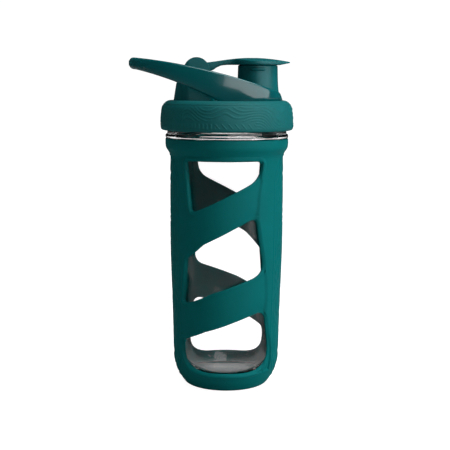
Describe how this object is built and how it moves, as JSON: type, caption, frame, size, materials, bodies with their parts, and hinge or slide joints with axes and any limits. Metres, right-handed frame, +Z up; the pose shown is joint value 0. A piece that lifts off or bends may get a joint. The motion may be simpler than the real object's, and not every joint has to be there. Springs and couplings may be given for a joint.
{
  "type": "glass water bottle",
  "caption": "Glass water bottle in a windowed silicone sleeve, with a screw lid, a drinking spout under a hinged flip cap, and an oval carry loop.",
  "frame": {"origin": "centre of the flat underside of the silicone sleeve, on the bottle's axis", "axes": "+Z up along the bottle's axis, +X from the axis towards the drinking spout, so the carry loop reaches out to -X and the windows face -Y and +Y"},
  "size_m": [0.1184, 0.096, 0.2376],
  "materials": {
    "clear_glass": "clear, polished",
    "teal_silicone": "matte, soft touch",
    "teal_grip": "matte, with fine raised contour lines",
    "satin_teal_plastic": "satin",
    "gloss_teal_plastic": "high gloss",
    "clear_silicone": "translucent, matte",
    "steel": "satin"
  },
  "bodies": {
    "vessel": {"glass_bottle": "clear_glass", "silicone_sleeve": "teal_silicone"},
    "seal": {"lid_gasket": "clear_silicone"},
    "lid": {"screw_cap": "satin_teal_plastic", "lid_grip_ring": "teal_grip", "spout_deck": "satin_teal_plastic", "carry_loop": "gloss_teal_plastic", "hinge_pin": "steel"},
    "spout_cover": {"flip_cap": "satin_teal_plastic", "spout_plug": "clear_silicone"}
  },
  "joints": [
    {"name": "lid_rise", "type": "slide", "parent": "vessel", "child": "seal", "axis": [0, 0, 1], "range_m": [0, 0.0201]},
    {"name": "lid_turn", "type": "hinge", "parent": "seal", "child": "lid", "pos_m": [0, 0, 0.19], "axis": [0, 0, 1], "range_deg": [0, 1440]},
    {"name": "cap_flip", "type": "hinge", "parent": "lid", "child": "spout_cover", "pos_m": [-0.0216, 0, 0.2284], "axis": [0, -1, 0], "range_deg": [0, 150]}
  ],
  "couplings": [
    {"joint": "lid_rise", "follows": "lid_turn", "m_per_rad": 0.00079577}
  ]
}
